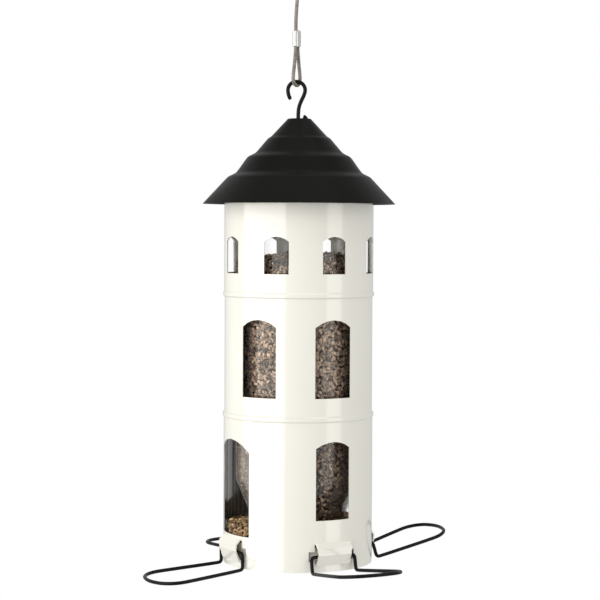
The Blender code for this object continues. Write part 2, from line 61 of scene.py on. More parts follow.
def makeCamera(view):
    data = bpy.data.cameras.new("camera")
    data.lens = view["lens"]
    data.sensor_width = 36.0
    data.clip_start = 0.05
    data.clip_end = 30.0
    camera = bpy.data.objects.new("camera", data)
    angle = math.radians(view["azimuth"])
    out = Vector((math.cos(angle), math.sin(angle), 0.0))
    right = Vector((-out.y, out.x, 0.0))
    camera.location = out * view["distance"] + right * view["aside"]
    camera.location.z = foot + view["height"]
    turn = Matrix.Rotation(angle + math.pi / 2, 4, "Z")
    tip = Matrix.Rotation(math.radians(90 - view["pitch"]), 4, "X")
    roll = Matrix.Rotation(math.radians(view["roll"]), 4, "Z")
    camera.rotation_euler = (turn @ tip @ roll).to_euler()
    bpy.context.collection.objects.link(camera)
    bpy.context.scene.camera = camera


makeCamera(view)
print("camera set")


def addPiece(name, bm, material, body, smoothAngle):
    mesh = bpy.data.meshes.new(name)
    bm.to_mesh(mesh)
    bm.free()
    mesh.shade_smooth()
    mesh.set_sharp_from_angle(angle=math.radians(smoothAngle))
    mesh.materials.append(material)
    piece = bpy.data.objects.new(name, mesh)
    bpy.context.collection.objects.link(piece)
    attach(piece, body)
    return piece


def smoothPoints(points, steps):
    # a curve through the points, as the CAD route takes
    spots = [Vector(p) for p in points]
    ends = [2 * spots[0] - spots[1]] + spots + [2 * spots[-1] - spots[-2]]
    curve = []
    for a, b, c, d in zip(ends, ends[1:], ends[2:], ends[3:]):
        for i in range(steps):
            t = i / steps
            curve.append(
                0.5 * (2 * b + (c - a) * t + (2 * a - 5 * b + 4 * c - d) * t * t
                       + (3 * b - a - 3 * c + d) * t ** 3)
            )
    return curve + [spots[-1]]


def newGroup(name, inputs, outputs):
    tree = bpy.data.node_groups.new(name, "ShaderNodeTree")
    for label, kind, value in inputs:
        socket = tree.interface.new_socket(name=label, in_out="INPUT", socket_type=kind)
        if value is not None:
            socket.default_value = value
    for label, kind in outputs:
        tree.interface.new_socket(name=label, in_out="OUTPUT", socket_type=kind)
    return tree, tree.nodes.new("NodeGroupInput"), tree.nodes.new("NodeGroupOutput")


def noiseNode(tree, coordinates, scale, detail=3.0, rough=0.55):
    noise = tree.nodes.new("ShaderNodeTexNoise")
    noise.inputs["Detail"].default_value = detail
    noise.inputs["Roughness"].default_value = rough
    tree.links.new(coordinates, noise.inputs["Vector"])
    if isinstance(scale, float):
        noise.inputs["Scale"].default_value = scale
    else:
        tree.links.new(scale, noise.inputs["Scale"])
    return noise


def mathNode(tree, operation, first, second=None, clamp=False):
    node = tree.nodes.new("ShaderNodeMath")
    node.operation = operation
    node.use_clamp = clamp
    for socket, value in zip(node.inputs, (first, second)):
        if value is None:
            continue
        if isinstance(value, (int, float)):
            socket.default_value = value
        else:
            tree.links.new(value, socket)
    return node.outputs[0]


def rangeNode(tree, value, low, high, toLow=0.0, toHigh=1.0):
    node = tree.nodes.new("ShaderNodeMapRange")
    tree.links.new(value, node.inputs["Value"])
    ends = (("From Min", low), ("From Max", high), ("To Min", toLow), ("To Max", toHigh))
    for label, amount in ends:
        node.inputs[label].default_value = amount
    return node.outputs["Result"]


def mixColour(tree, factor, first, second):
    node = tree.nodes.new("ShaderNodeMix")
    node.data_type = "RGBA"
    tree.links.new(factor, node.inputs["Factor"])
    for socket, value in ((node.inputs["A"], first), (node.inputs["B"], second)):
        if isinstance(value, tuple):
            socket.default_value = (*value, 1.0)
        else:
            tree.links.new(value, socket)
    return node.outputs["Result"]


coatOutputs = [
    ("Colour", "NodeSocketColor"),
    ("Roughness", "NodeSocketFloat"),
    ("Height", "NodeSocketFloat"),
]


def makePaintGroup():
    # a sprayed coat: slight waviness, fine orange peel, and dust that dulls it in patches
    tree, given, made = newGroup(
        "sprayedCoat",
        [
            ("Colour", "NodeSocketColor", (0.8, 0.8, 0.8, 1.0)),
            ("Shade", "NodeSocketColor", (0.7, 0.7, 0.7, 1.0)),
            ("Peel Size", "NodeSocketFloat", 900.0),
            ("Dull From", "NodeSocketFloat", 0.2),
            ("Dull To", "NodeSocketFloat", 0.4),
        ],
        coatOutputs,
    )
    place = tree.nodes.new("ShaderNodeTexCoord").outputs["Object"]
    broad = noiseNode(tree, place, 22.0, 4.0).outputs["Fac"]
    peel = noiseNode(tree, place, given.outputs["Peel Size"], 2.0).outputs["Fac"]
    wave = noiseNode(tree, place, 60.0, 1.0).outputs["Fac"]
    patch = rangeNode(tree, broad, 0.35, 0.70)
    node = tree.nodes.new("ShaderNodeMix")
    node.data_type = "RGBA"
    tree.links.new(patch, node.inputs["Factor"])
    tree.links.new(given.outputs["Colour"], node.inputs["A"])
    tree.links.new(given.outputs["Shade"], node.inputs["B"])
    tree.links.new(node.outputs["Result"], made.inputs["Colour"])
    dull = tree.nodes.new("ShaderNodeMapRange")
    tree.links.new(broad, dull.inputs["Value"])
    dull.inputs["From Min"].default_value = 0.3
    dull.inputs["From Max"].default_value = 0.7
    tree.links.new(given.outputs["Dull From"], dull.inputs["To Min"])
    tree.links.new(given.outputs["Dull To"], dull.inputs["To Max"])
    tree.links.new(dull.outputs["Result"], made.inputs["Roughness"])
    height = mathNode(tree, "ADD", mathNode(tree, "MULTIPLY", wave, 3.0), peel)
    tree.links.new(height, made.inputs["Height"])
    return tree


def makeHullGroup():
    # a seed's hull: its own tint, mottled, with darker creases
    tree, given, made = newGroup(
        "seedHull",
        [
            ("Dark", "NodeSocketColor", (0.05, 0.03, 0.02, 1.0)),
            ("Light", "NodeSocketColor", (0.4, 0.25, 0.14, 1.0)),
            ("Tint", "NodeSocketFloat", 0.5),
        ],
        coatOutputs,
    )
    place = tree.nodes.new("ShaderNodeTexCoord").outputs["Object"]
    mottle = noiseNode(tree, place, 420.0, 4.0, 0.7).outputs["Fac"]
    fine = noiseNode(tree, place, 1800.0, 2.0).outputs["Fac"]
    spots = rangeNode(tree, mottle, 0.3, 0.7, -0.35, 0.35)
    blend = mathNode(tree, "ADD", given.outputs["Tint"], spots, clamp=True)
    node = tree.nodes.new("ShaderNodeMix")
    node.data_type = "RGBA"
    tree.links.new(blend, node.inputs["Factor"])
    tree.links.new(given.outputs["Dark"], node.inputs["A"])
    tree.links.new(given.outputs["Light"], node.inputs["B"])
    tree.links.new(node.outputs["Result"], made.inputs["Colour"])
    tree.links.new(rangeNode(tree, mottle, 0.3, 0.7, 0.42, 0.68), made.inputs["Roughness"])
    tree.links.new(mathNode(tree, "ADD", mottle, fine), made.inputs["Height"])
    return tree


paintGroup = makePaintGroup()
hullGroup = makeHullGroup()


def newMaterial(name, **values):
    made = bpy.data.materials.new(name)
    made.use_nodes = True
    shader = made.node_tree.nodes["Principled BSDF"]
    for label, value in values.items():
        shader.inputs[label.replace("_", " ")].default_value = value
    return made, made.node_tree, shader


def useGroup(tree, group, **values):
    node = tree.nodes.new("ShaderNodeGroup")
    node.node_tree = group
    for label, value in values.items():
        node.inputs[label.replace("_", " ")].default_value = value
    return node


def addBump(tree, shader, height, distance, strength=1.0):
    bump = tree.nodes.new("ShaderNodeBump")
    bump.inputs["Strength"].default_value = strength
    bump.inputs["Distance"].default_value = distance
    tree.links.new(height, bump.inputs["Height"])
    tree.links.new(bump.outputs["Normal"], shader.inputs["Normal"])


def paintMaterial(name, colour, shade, dull, peel, bump, **values):
    made, tree, shader = newMaterial(name, **values)
    coat = useGroup(tree, paintGroup, Colour=(*colour, 1.0), Shade=(*shade, 1.0),
                    Peel_Size=peel, Dull_From=dull[0], Dull_To=dull[1])
    tree.links.new(coat.outputs["Colour"], shader.inputs["Base Color"])
    tree.links.new(coat.outputs["Roughness"], shader.inputs["Roughness"])
    addBump(tree, shader, coat.outputs["Height"], bump)
    return made, tree, shader, coat


shellPaint = {
    "dull": (0.12, 0.20),
    "peel": 1100.0,
    "bump": 0.00002,
    "outside": (0.90, 0.885, 0.80),
    "outsideShade": (0.885, 0.868, 0.78),
    "inside": (0.115, 0.084, 0.060),  # painted shade: the inner wall darkened for the shade it lies in, seen through the openings
    "insideUpper": (0.80, 0.76, 0.69),  # painted light: the inner wall lighter towards the mouth, where more light comes in
    # heights over which the inner wall's painted shade gives way to the painted light at the
    # mouth
    "upperFrom": 0.205,
    "upperTo": 0.235,
    "insideFrom": 0.0609,  # distances from the axis: painted shade inside, paint outside
    "insideTo": 0.0612,
}


def makeShellMaterial(values):
    made, tree, shader, coat = paintMaterial(
        "shellPaint", values["outside"], values["outsideShade"],
        values["dull"], values["peel"], values["bump"],
        IOR=1.6, Coat_Weight=0.8, Coat_Roughness=0.05, Coat_IOR=1.6,
    )
    place = tree.nodes.new("ShaderNodeTexCoord").outputs["Object"]
    parts = tree.nodes.new("ShaderNodeSeparateXYZ")
    tree.links.new(place, parts.inputs[0])
    square = mathNode(tree, "ADD", mathNode(tree, "POWER", parts.outputs["X"], 2.0),
                      mathNode(tree, "POWER", parts.outputs["Y"], 2.0))
    away = mathNode(tree, "SQRT", square)
    # the inner wall takes painted shade, turning to painted light towards the mouth; the outer
    # face takes the coat
    outside = rangeNode(tree, away, values["insideFrom"], values["insideTo"])
    low, high = foot + values["upperFrom"], foot + values["upperTo"]
    # painted light: the inner wall's colour lightens with height
    litTop = rangeNode(tree, parts.outputs["Z"], low, high)
    inside = mixColour(tree, litTop, values["inside"], values["insideUpper"])
    colour = mixColour(tree, outside, inside, coat.outputs["Colour"])
    tree.links.new(colour, shader.inputs["Base Color"])
    return made


wireCoat = dict(
    colour=(0.0035, 0.003, 0.003),
    shade=(0.005, 0.004, 0.004),
    dull=(0.22, 0.34),
    peel=1500.0,
    bump=0.00003,
    Specular_IOR_Level=0.16,
)
roofCoat = dict(
    colour=(0.0035, 0.0038, 0.003),
    shade=(0.005, 0.0055, 0.0042),
    dull=(0.30, 0.44),
    peel=1300.0,
    bump=0.00005,
    Specular_IOR_Level=0.07,
)
trayCoat = dict(
    colour=(0.80, 0.78, 0.70),
    shade=(0.70, 0.67, 0.58),
    dull=(0.25, 0.45),
    peel=1100.0,
    bump=0.00004,
)

shellMaterial = makeShellMaterial(shellPaint)
wireMaterial = paintMaterial("wireCoat", **wireCoat)[0]
roofMaterial = paintMaterial("roofCoat", **roofCoat)[0]
trayMaterial = paintMaterial("trayCoat", **trayCoat)[0]


def makeSeedMaterial(name, dark, light):
    made, tree, shader = newMaterial(name)
    tint = tree.nodes.new("ShaderNodeAttribute")
    tint.attribute_name = "seedTint"
    hull = useGroup(tree, hullGroup, Dark=(*dark, 1.0), Light=(*light, 1.0))
    tree.links.new(tint.outputs["Fac"], hull.inputs["Tint"])
    tree.links.new(hull.outputs["Colour"], shader.inputs["Base Color"])
    tree.links.new(hull.outputs["Roughness"], shader.inputs["Roughness"])
    addBump(tree, shader, hull.outputs["Height"], 0.00025)
    return made


columnSeedMaterial = makeSeedMaterial("columnSeed", (0.085, 0.042, 0.026), (0.90, 0.66, 0.47))
pileSeedMaterial = makeSeedMaterial("pileSeed", (0.08, 0.040, 0.018), (0.66, 0.44, 0.22))


def makeDeepSeedMaterial():
    # what shows between the outer seeds: more of them, in deep shade
    made, tree, shader = newMaterial("deepSeed", Roughness=0.9, Specular_IOR_Level=0.1)
    place = tree.nodes.new("ShaderNodeTexCoord").outputs["Object"]
    grains = noiseNode(tree, place, 300.0, 2.0).outputs["Fac"]
    share = rangeNode(tree, grains, 0.4, 0.65)
    colour = mixColour(tree, share, (0.010, 0.005, 0.004), (0.045, 0.024, 0.015))
    tree.links.new(colour, shader.inputs["Base Color"])
    addBump(tree, shader, grains, 0.0008)
    return made


deepSeedMaterial = makeDeepSeedMaterial()


def makeClearMaterial():
    # thin moulded plastic: a little haze, and strong reflections at a grazing angle
    made, tree, shader = newMaterial("clearPlastic", Metallic=0.85)
    place = tree.nodes.new("ShaderNodeTexCoord").outputs["Object"]
    scuff = noiseNode(tree, place, 130.0, 5.0, 0.7).outputs["Fac"]
    edge = tree.nodes.new("ShaderNodeLayerWeight")
    edge.inputs["Blend"].default_value = 0.25
    haze = rangeNode(tree, scuff, 0.35, 0.75, 0.015, 0.04)
    rim = mathNode(tree, "MULTIPLY", edge.outputs["Fresnel"], 0.5)
    tree.links.new(mathNode(tree, "ADD", haze, rim, clamp=True), shader.inputs["Alpha"])
    colour = mixColour(tree, scuff, (0.84, 0.82, 0.76), (0.93, 0.91, 0.86))
    tree.links.new(colour, shader.inputs["Base Color"])
    tree.links.new(rangeNode(tree, scuff, 0.3, 0.8, 0.05, 0.16), shader.inputs["Roughness"])
    addBump(tree, shader, noiseNode(tree, place, 70.0, 1.0).outputs["Fac"], 0.0003)
    return made


def makeCableMaterial():
    made, tree, shader = newMaterial("cableCoat", Metallic=0.25)
    place = tree.nodes.new("ShaderNodeTexCoord").outputs["Object"]
    grime = noiseNode(tree, place, 260.0, 5.0, 0.65).outputs["Fac"]
    share = rangeNode(tree, grime, 0.35, 0.7)
    colour = mixColour(tree, share, (0.16, 0.14, 0.115), (0.34, 0.31, 0.26))
    tree.links.new(colour, shader.inputs["Base Color"])
    tree.links.new(rangeNode(tree, grime, 0.3, 0.7, 0.38, 0.6), shader.inputs["Roughness"])
    addBump(tree, shader, noiseNode(tree, place, 2400.0, 2.0).outputs["Fac"], 0.00008)
    return made


def makeFerruleMaterial():
    made, tree, shader = newMaterial("ferruleMetal", Metallic=1.0)
    place = tree.nodes.new("ShaderNodeTexCoord").outputs["Object"]
    scratch = tree.nodes.new("ShaderNodeMapping")
    scratch.inputs["Scale"].default_value = (1.0, 1.0, 0.12)
    tree.links.new(place, scratch.inputs["Vector"])
    drawn = noiseNode(tree, scratch.outputs["Vector"], 1500.0, 3.0).outputs["Fac"]
    colour = mixColour(tree, drawn, (0.60, 0.61, 0.60), (0.84, 0.85, 0.84))
    tree.links.new(colour, shader.inputs["Base Color"])
    tree.links.new(rangeNode(tree, drawn, 0.3, 0.7, 0.22, 0.42), shader.inputs["Roughness"])
    addBump(tree, shader, drawn, 0.00008)
    return made


clearMaterial = makeClearMaterial()
cableMaterial = makeCableMaterial()
ferruleMaterial = makeFerruleMaterial()
print("materials made")


cable = {
    "diameter": 0.0030,
    "planeTurn": 60.0,  # of its loops, from the hook's plane
    "hangTurn": -28.0,  # of the hook's plane
    "strands": 6,
    "layLength": 0.0150,
    "spacing": 0.0009,
    # offset of the loop's line, across the loop, and height above the foot
    "route": (
        (-0.0024, 0.0016, 0.4406),
        (-0.0024, 0.0016, 0.4340),
        (-0.0024, 0.0016, 0.4270),
        (-0.0024, 0.0023, 0.4205),
        (-0.0024, 0.0037, 0.4120),
        (-0.0024, 0.0052, 0.4045),
        (-0.0024, 0.0055, 0.4000),
        (-0.0024, 0.0044, 0.3970),
        (-0.0024, 0.0023, 0.3955),
        (-0.0024, 0.0000, 0.3951),
        (-0.0024, -0.0023, 0.3955),
        (-0.0024, -0.0044, 0.3970),
        (-0.0024, -0.0055, 0.4000),
        (-0.0024, -0.0052, 0.4045),
        (-0.0024, -0.0037, 0.4120),
        (-0.0024, -0.0023, 0.4205),
        (-0.0024, -0.0016, 0.4270),
        (-0.0024, -0.0016, 0.4400),
        (-0.0022, -0.0016, 0.4520),
        (-0.0013, -0.0016, 0.4660),
        (-0.0003, -0.0016, 0.4780),
        (0.0, -0.0016, 0.4860),
        (0.0, -0.0016, 0.4990),
        (0.0, -0.0026, 0.5070),
        (0.0, -0.0046, 0.5145),
        (0.0, -0.0060, 0.5210),
        (0.0, -0.0055, 0.5260),
        (0.0, -0.0032, 0.5287),
        (0.0, 0.0000, 0.5295),
        (0.0, 0.0032, 0.5287),
        (0.0, 0.0055, 0.5260),
        (0.0, 0.0060, 0.5210),
        (0.0, 0.0046, 0.5145),
        (0.0, 0.0026, 0.5070),
        (0.0, 0.0016, 0.4990),
        (0.0, 0.0016, 0.4920),
        (0.0, 0.0016, 0.4854),
    ),
}


def cablePath(cable):
    hang = Matrix.Rotation(math.radians(cable["hangTurn"]), 3, "Z")
    plane = Matrix.Rotation(math.radians(cable["planeTurn"]), 3, "Z")
    route = [
        hang @ (plane @ Vector((across, 0.0, foot + height)) + Vector((middle, 0.0, 0.0)))
        for middle, across, height in cable["route"]
    ]
    rough = smoothPoints(route, 12)
    # even spacing along the route, so that the twist is even too
    path, left = [rough[0]], cable["spacing"]
    for a, b in zip(rough, rough[1:]):
        run = (b - a).length
        while run >= left:
            a = a + (b - a) * (left / run)
            run -= left
            left = cable["spacing"]
            path.append(a)
        left -= run
    return path + [rough[-1]]


def makeCable(cable):
    path = cablePath(cable)
    length = sum((b - a).length for a, b in zip(path, path[1:]))
    radius = cable["diameter"] / 2
    data = bpy.data.curves.new("cableProfile", "CURVE")
    profile = data.splines.new("POLY")
    count = 4 * cable["strands"]
    profile.points.add(count - 1)
    for i, spot in enumerate(profile.points):
        angle = 2 * math.pi * i / count
        out = radius * (0.90 + 0.10 * abs(math.cos(cable["strands"] * angle / 2)))
        spot.co = (out * math.cos(angle), out * math.sin(angle), 0.0, 1.0)
    profile.use_cyclic_u = True
    lobes = bpy.data.objects.new("cableProfile", data)
    bpy.context.collection.objects.link(lobes)
    line = bpy.data.curves.new("cableLine", "CURVE")
    line.dimensions = "3D"
    line.twist_mode = "MINIMUM"
    line.bevel_mode = "OBJECT"
    line.bevel_object = lobes
    line.use_fill_caps = True
    spline = line.splines.new("POLY")
    spline.points.add(len(path) - 1)
    for i, (spot, point) in enumerate(zip(spline.points, path)):
        spot.co = (*point, 1.0)
        spot.tilt = 2 * math.pi * i * cable["spacing"] / cable["layLength"]
    twisted = bpy.data.objects.new("cableLine", line)
    bpy.context.collection.objects.link(twisted)
    graph = bpy.context.evaluated_depsgraph_get()
    mesh = bpy.data.meshes.new_from_object(twisted.evaluated_get(graph))
    bpy.data.objects.remove(twisted)
    bpy.data.objects.remove(lobes)
    bm = bmesh.new()
    bm.from_mesh(mesh)
    bmesh.ops.remove_doubles(bm, verts=bm.verts, dist=1e-6)
    bmesh.ops.recalc_face_normals(bm, faces=bm.faces)
    piece = addPiece("hangingCable", bm, cableMaterial, "cable", 60.0)
    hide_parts("cable")
    return piece, path, length


ferrule = {
    "rings": 24,
    "bands": 3,
    "press": 0.00022,  # depth of the crimped bands
    "ease": 0.00035,  # how far the mouths are drawn in
    "easeShare": 0.06,  # of the length, at each mouth
    "boreReach": 0.0024,  # points farther out than this are on the outside
}


def makeFerrule(name, node, ferrule):
    # a copy of the oval sleeve, pressed in three bands and with softened mouths
    low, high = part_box(node)
    middle = Vector([(a + b) / 2 for a, b in zip(low, high)])
    bm = bmesh.new()
    bm.from_mesh(nodes[node].data)
    bmesh.ops.remove_doubles(bm, verts=bm.verts, dist=1e-6)
    bmesh.ops.dissolve_limit(bm, angle_limit=math.radians(2), verts=bm.verts, edges=bm.edges)
    for i in range(1, ferrule["rings"]):
        height = low[2] + (high[2] - low[2]) * (i / ferrule["rings"])
        bmesh.ops.bisect_plane(
            bm, geom=bm.verts[:] + bm.edges[:] + bm.faces[:],
            plane_co=(0, 0, height), plane_no=(0, 0, 1),
        )
    for vert in bm.verts:
        share = (vert.co.z - low[2]) / (high[2] - low[2])
        flat = Vector((vert.co.x - middle.x, vert.co.y - middle.y, 0.0))
        turn = share * 2 * ferrule["bands"] * math.pi + math.pi
        press = ferrule["press"] * max(0.0, math.cos(turn)) ** 2
        ease = ferrule["ease"] * max(0.0, 1 - min(share, 1 - share) / ferrule["easeShare"])
        if flat.length > ferrule["boreReach"]:
            vert.co -= flat.normalized() * (press + ease)
    bmesh.ops.recalc_face_normals(bm, faces=bm.faces)
    piece = addPiece(name, bm, ferruleMaterial, "cable", 50.0)
    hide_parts(node)
    return piece


cablePiece, path, cableLength = makeCable(cable)
ferrules = [
    makeFerrule("lowerFerrule", "ferrule_lower", ferrule),
    makeFerrule("upperFerrule", "ferrule_upper", ferrule),
]
tuple(path[0])
[tuple(p) for p in path]
print("cable made:", round(cableLength, 3), "m")


def turnedNormals(mesh, most=7.0):
    # a face of a turned wall takes the wall's own normal at each corner, so that long thin
    # faces round a window don't show, and every other face stays flat
    normals = []
    for face in mesh.polygons:
        level = math.hypot(face.normal.x, face.normal.y)
        facing = math.atan2(face.normal.y, face.normal.x)
        corners = []
        for index in face.vertices:
            spot = mesh.vertices[index].co
            off = math.atan2(spot.y, spot.x) - facing
            half = math.pi if face.normal.x * spot.x + face.normal.y * spot.y < 0 else 0.0
            off = (off + half + math.pi) % (2 * math.pi) - math.pi
            corners.append((off, half))
        turned = level > 0.05 and all(abs(off) < math.radians(most) for off, half in corners)
        for off, half in corners:
            angle = facing + off if turned else facing
            normals.append((level * math.cos(angle), level * math.sin(angle), face.normal.z))
    mesh.normals_split_custom_set(normals)


def smoothCopy(name, node, material, body):
    bm = bmesh.new()
    bm.from_mesh(nodes[node].data)
    bmesh.ops.remove_doubles(bm, verts=bm.verts, dist=2e-6)
    piece = addPiece(name, bm, material, body, 35.0)
    turnedNormals(piece.data)
    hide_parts(node)
    return piece


wireGrowth = 0.085  # of the radius, which is what the subdivision takes off


def roundWire(name, node, material, body, radius):
    # the many-sided wire subdivided to a round one, thickened by what that takes off it
    bm = bmesh.new()
    bm.from_mesh(nodes[node].data)
    bmesh.ops.remove_doubles(bm, verts=bm.verts, dist=2e-6)
    bmesh.ops.join_triangles(
        bm, faces=bm.faces, angle_face_threshold=0.6, angle_shape_threshold=3.14,
        cmp_seam=False, cmp_sharp=False, cmp_uvs=False, cmp_vcols=False, cmp_materials=False,
    )
    bm.normal_update()
    for vert in bm.verts:
        vert.co += vert.normal * radius * wireGrowth
    piece = addPiece(name, bm, material, body, 70.0)
    step = piece.modifiers.new("rounded", "SUBSURF")
    step.levels = 1
    step.render_levels = 1
    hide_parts(node)
    return piece


roof = {
    "eaves": 0.2970,
    "sheet": 0.0010,
    "hole": 0.0083,
    "around": 144,
    "roll": 0.0022,  # bend radius at each change of slope
    "rollSteps": 5,
    # radius, and height above the eaves
    "tiers": (
        (0.0095, 0.0706),
        (0.0234, 0.0557),
        (0.0259, 0.0543),
        (0.0362, 0.0421),
        (0.0427, 0.0391),
        (0.0524, 0.0255),
        (0.0590, 0.0225),
        (0.0800, 0.0000),
    ),
}


def rolled(points, radius, steps):
    # the run of points with each inner corner rounded off
    run = [Vector(p) for p in points]
    out = [run[0]]
    for before, corner, after in zip(run, run[1:], run[2:]):
        back, ahead = before - corner, after - corner
        reach = min(radius, 0.45 * back.length, 0.45 * ahead.length)
        start = corner + back.normalized() * reach
        end = corner + ahead.normalized() * reach
        for i in range(steps + 1):
            t = i / steps
            out.append(start * (1 - t) ** 2 + corner * 2 * t * (1 - t) + end * t * t)
    return out + [run[-1]]


def makeRoof(roof):
    tiers = roof["tiers"]
    hole, sheet = roof["hole"], roof["sheet"]
    outer = rolled([(hole, tiers[0][1])] + list(tiers), roof["roll"], roof["rollSteps"])
    (r0, z0), (r1, z1) = tiers[-2:]
    drop = sheet * math.hypot(r1 - r0, z1 - z0) / (r1 - r0)
    lining = [(hole, tiers[0][1] - sheet), (tiers[0][0] - sheet / 2, tiers[0][1] - sheet)]
    lining += [(r, z - drop) for r, z in tiers[1:-1]] + [(r1 - drop, z1)]
    inner = rolled(lining, roof["roll"], roof["rollSteps"])
    outline = [(p.x, p.y) for p in outer] + [(p.x, p.y) for p in reversed(inner)]
    bm = bmesh.new()
    points = [bm.verts.new((r, 0.0, foot + roof["eaves"] + z)) for r, z in outline]
    edges = [bm.edges.new(pair) for pair in zip(points, points[1:] + points[:1])]
    bmesh.ops.spin(bm, geom=points + edges, cent=(0, 0, 0), axis=(0, 0, 1), angle=2 * math.pi,
                   steps=roof["around"], use_merge=True)
    bmesh.ops.recalc_face_normals(bm, faces=bm.faces)
    piece = addPiece("steppedRoof", bm, roofMaterial, "roof", 50.0)
    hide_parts("roof")
    return piece


smoothCopy("towerShell", "tower_shell", shellMaterial, "tower")
smoothCopy("baseTray", "base_tray", trayMaterial, "tower")
makeRoof(roof)
smoothCopy("seedContainer", "seed_container", clearMaterial, "tower")
hookRadius, wireRadius = 0.00165, 0.0015
for name, node, body, radius in (
    ("hangingHook", "hook", "hook", hookRadius),
    ("wireBail", "bail", "tower", wireRadius),
    ("perchRight", "perch_right", "perch_right", wireRadius),
    ("perchBack", "perch_back", "perch_back", wireRadius),
    ("perchLeft", "perch_left", "perch_left", wireRadius),
    ("perchFront", "perch_front", "perch_front", wireRadius),
):
    roundWire(name, node, wireMaterial, body, radius)
print("steel pieces finished")


seeds = {
    "long": 0.0043,
    "wide": 0.0032,
    "thick": 0.0028,
    "spread": 0.16,  # of each size
    "tint": 0.42,  # mean of the tints, from dark to pale
    "tintSpread": 0.26,
    "lowTint": 0.17,  # of the shaded seed at the bottom
    "nod": 0.35,  # spread of a seed's tilt from lying flat, in radians
    "ringShare": 0.84,  # of the pitch, between rings
    "funnelTop": 0.0685,
    "funnelLean": -0.45,  # how far seeds in the funnel face down
    "inset": 0.0017,  # from the container's wall to a seed's middle
    "coreInset": 0.0036,
    "pitch": 0.0032,
    "turnJitter": 0.3,  # of the gap to the next seed
    "heightJitter": 0.0011,
    "spiralStep": 0.0024,
    "levels": (0.0300, 0.1150, 0.2200, 0.2600),  # ends of the column's three pieces
    "batch": 80,  # seeds joined at a time
    "draw": 7,
}

# the container's inner face: distance from the axis, and height
containerInside = ((0.0378, 0.0330), (0.0420, 0.0475), (0.0508, 0.0685), (0.0538, 0.2980))
seedTop = 0.2505  # mean height of the heap's top
draws = random.Random(seeds["draw"])


def insideAt(height):
    for (r0, z0), (r1, z1) in zip(containerInside, containerInside[1:]):
        if z0 <= height <= z1:
            return r0 + (r1 - r0) * (height - z0) / (z1 - z0)
    return containerInside[0][0]


def heapAt(x, y):
    # the seed's wavy top
    return seedTop + 0.0030 * math.sin(70 * x + 1.0) + 0.0035 * math.cos(60 * y + 60 * x)


def seedShape():
    bm = bmesh.new()
    bmesh.ops.create_uvsphere(bm, u_segments=6, v_segments=5, radius=0.5)
    for vert in bm.verts:
        taper = 1.0 - 0.28 * (vert.co.z + 0.5)
        vert.co.x *= taper
        vert.co.y *= taper * (1.0 + 0.16 * (vert.co.x > 0.2))
    mesh = bpy.data.meshes.new("seedShape")
    bm.to_mesh(mesh)
    bm.free()
    return mesh


def seedPlaces(rows):
    # (middle, facing direction) pairs turned into matrices, each with its own tilt and size
    for middle, facing in rows:
        lie = facing.to_track_quat("X", "Z").to_matrix().to_4x4()
        spin = Matrix.Rotation(draws.uniform(0, 2 * math.pi), 4, "X")
        nod = Matrix.Rotation(draws.gauss(0, seeds["nod"]), 4, "Y")
        nod = nod @ Matrix.Rotation(draws.gauss(0, seeds["nod"]), 4, "Z")
        grow = 1 + draws.uniform(-seeds["spread"], seeds["spread"])
        sizes = [seeds[side] * grow for side in ("thick", "wide", "long")]
        yield Matrix.Translation(middle) @ lie @ spin @ nod @ Matrix.Diagonal((*sizes, 1.0))


def makeSeeds(name, rows, material, body, replaced=(), tintMean=seeds["tint"]):
    shape = seedShape()
    count = len(shape.vertices)
    tints = []
    whole = bmesh.new()
    places = list(seedPlaces(rows))
    for start in range(0, len(places), seeds["batch"]):
        chunk = bmesh.new()
        for matrix in places[start:start + seeds["batch"]]:
            chunk.from_mesh(shape)
            chunk.verts.ensure_lookup_table()
            bmesh.ops.transform(chunk, matrix=matrix, verts=chunk.verts[-count:])
            tints += [min(1.0, max(0.0, draws.gauss(tintMean, seeds["tintSpread"])))] * count
        bmesh.ops.recalc_face_normals(chunk, faces=chunk.faces)
        mesh = bpy.data.meshes.new("chunk")
        chunk.to_mesh(mesh)
        chunk.free()
        whole.from_mesh(mesh)
        bpy.data.meshes.remove(mesh)
    piece = addPiece(name, whole, material, body, 80.0)
    tint = piece.data.attributes.new("seedTint", "FLOAT", "POINT")
    tint.data.foreach_set("value", tints)
    if replaced:
        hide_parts(*replaced)
    print(name, len(places), "seeds,", len(piece.data.polygons), "faces")
    return piece


def wallRows(low, high, inset):
    # seeds against the container's wall, in staggered rings
    height, ring = low, 0
    while height < high:
        radius = insideAt(height) - inset
        around = int(2 * math.pi * radius / seeds["pitch"])
        steep = 0.0 if height > seeds["funnelTop"] else seeds["funnelLean"]
        for i in range(around):
            stagger = 0.5 * (ring % 2) + draws.uniform(-seeds["turnJitter"], seeds["turnJitter"])
            angle = 2 * math.pi * (i + stagger) / around
            out = Vector((math.cos(angle), math.sin(angle), steep)).normalized()
            r = radius + draws.uniform(-0.0007, 0.0003)
            up = height + draws.uniform(-seeds["heightJitter"], seeds["heightJitter"])
            spot = Vector((r * math.cos(angle), r * math.sin(angle), up))
            if spot.z < heapAt(spot.x, spot.y) - 0.001:
                yield Vector((spot.x, spot.y, foot + spot.z)), out
        height += seeds["pitch"] * seeds["ringShare"]
        ring += 1


def topRows():
    # the heap's top, spiralling out from the axis
    turn = math.pi * (3 - math.sqrt(5))
    limit = insideAt(seedTop) - seeds["inset"]
    step, i = seeds["spiralStep"], 0
    while step * math.sqrt(i) < limit:
        r, angle = step * math.sqrt(i), i * turn
        x, y = r * math.cos(angle), r * math.sin(angle)
        out = Vector((0.25 * math.cos(angle), 0.25 * math.sin(angle), 1.0)).normalized()
        yield Vector((x, y, foot + heapAt(x, y) + draws.uniform(-0.0012, 0.0012))), out
        i += 1


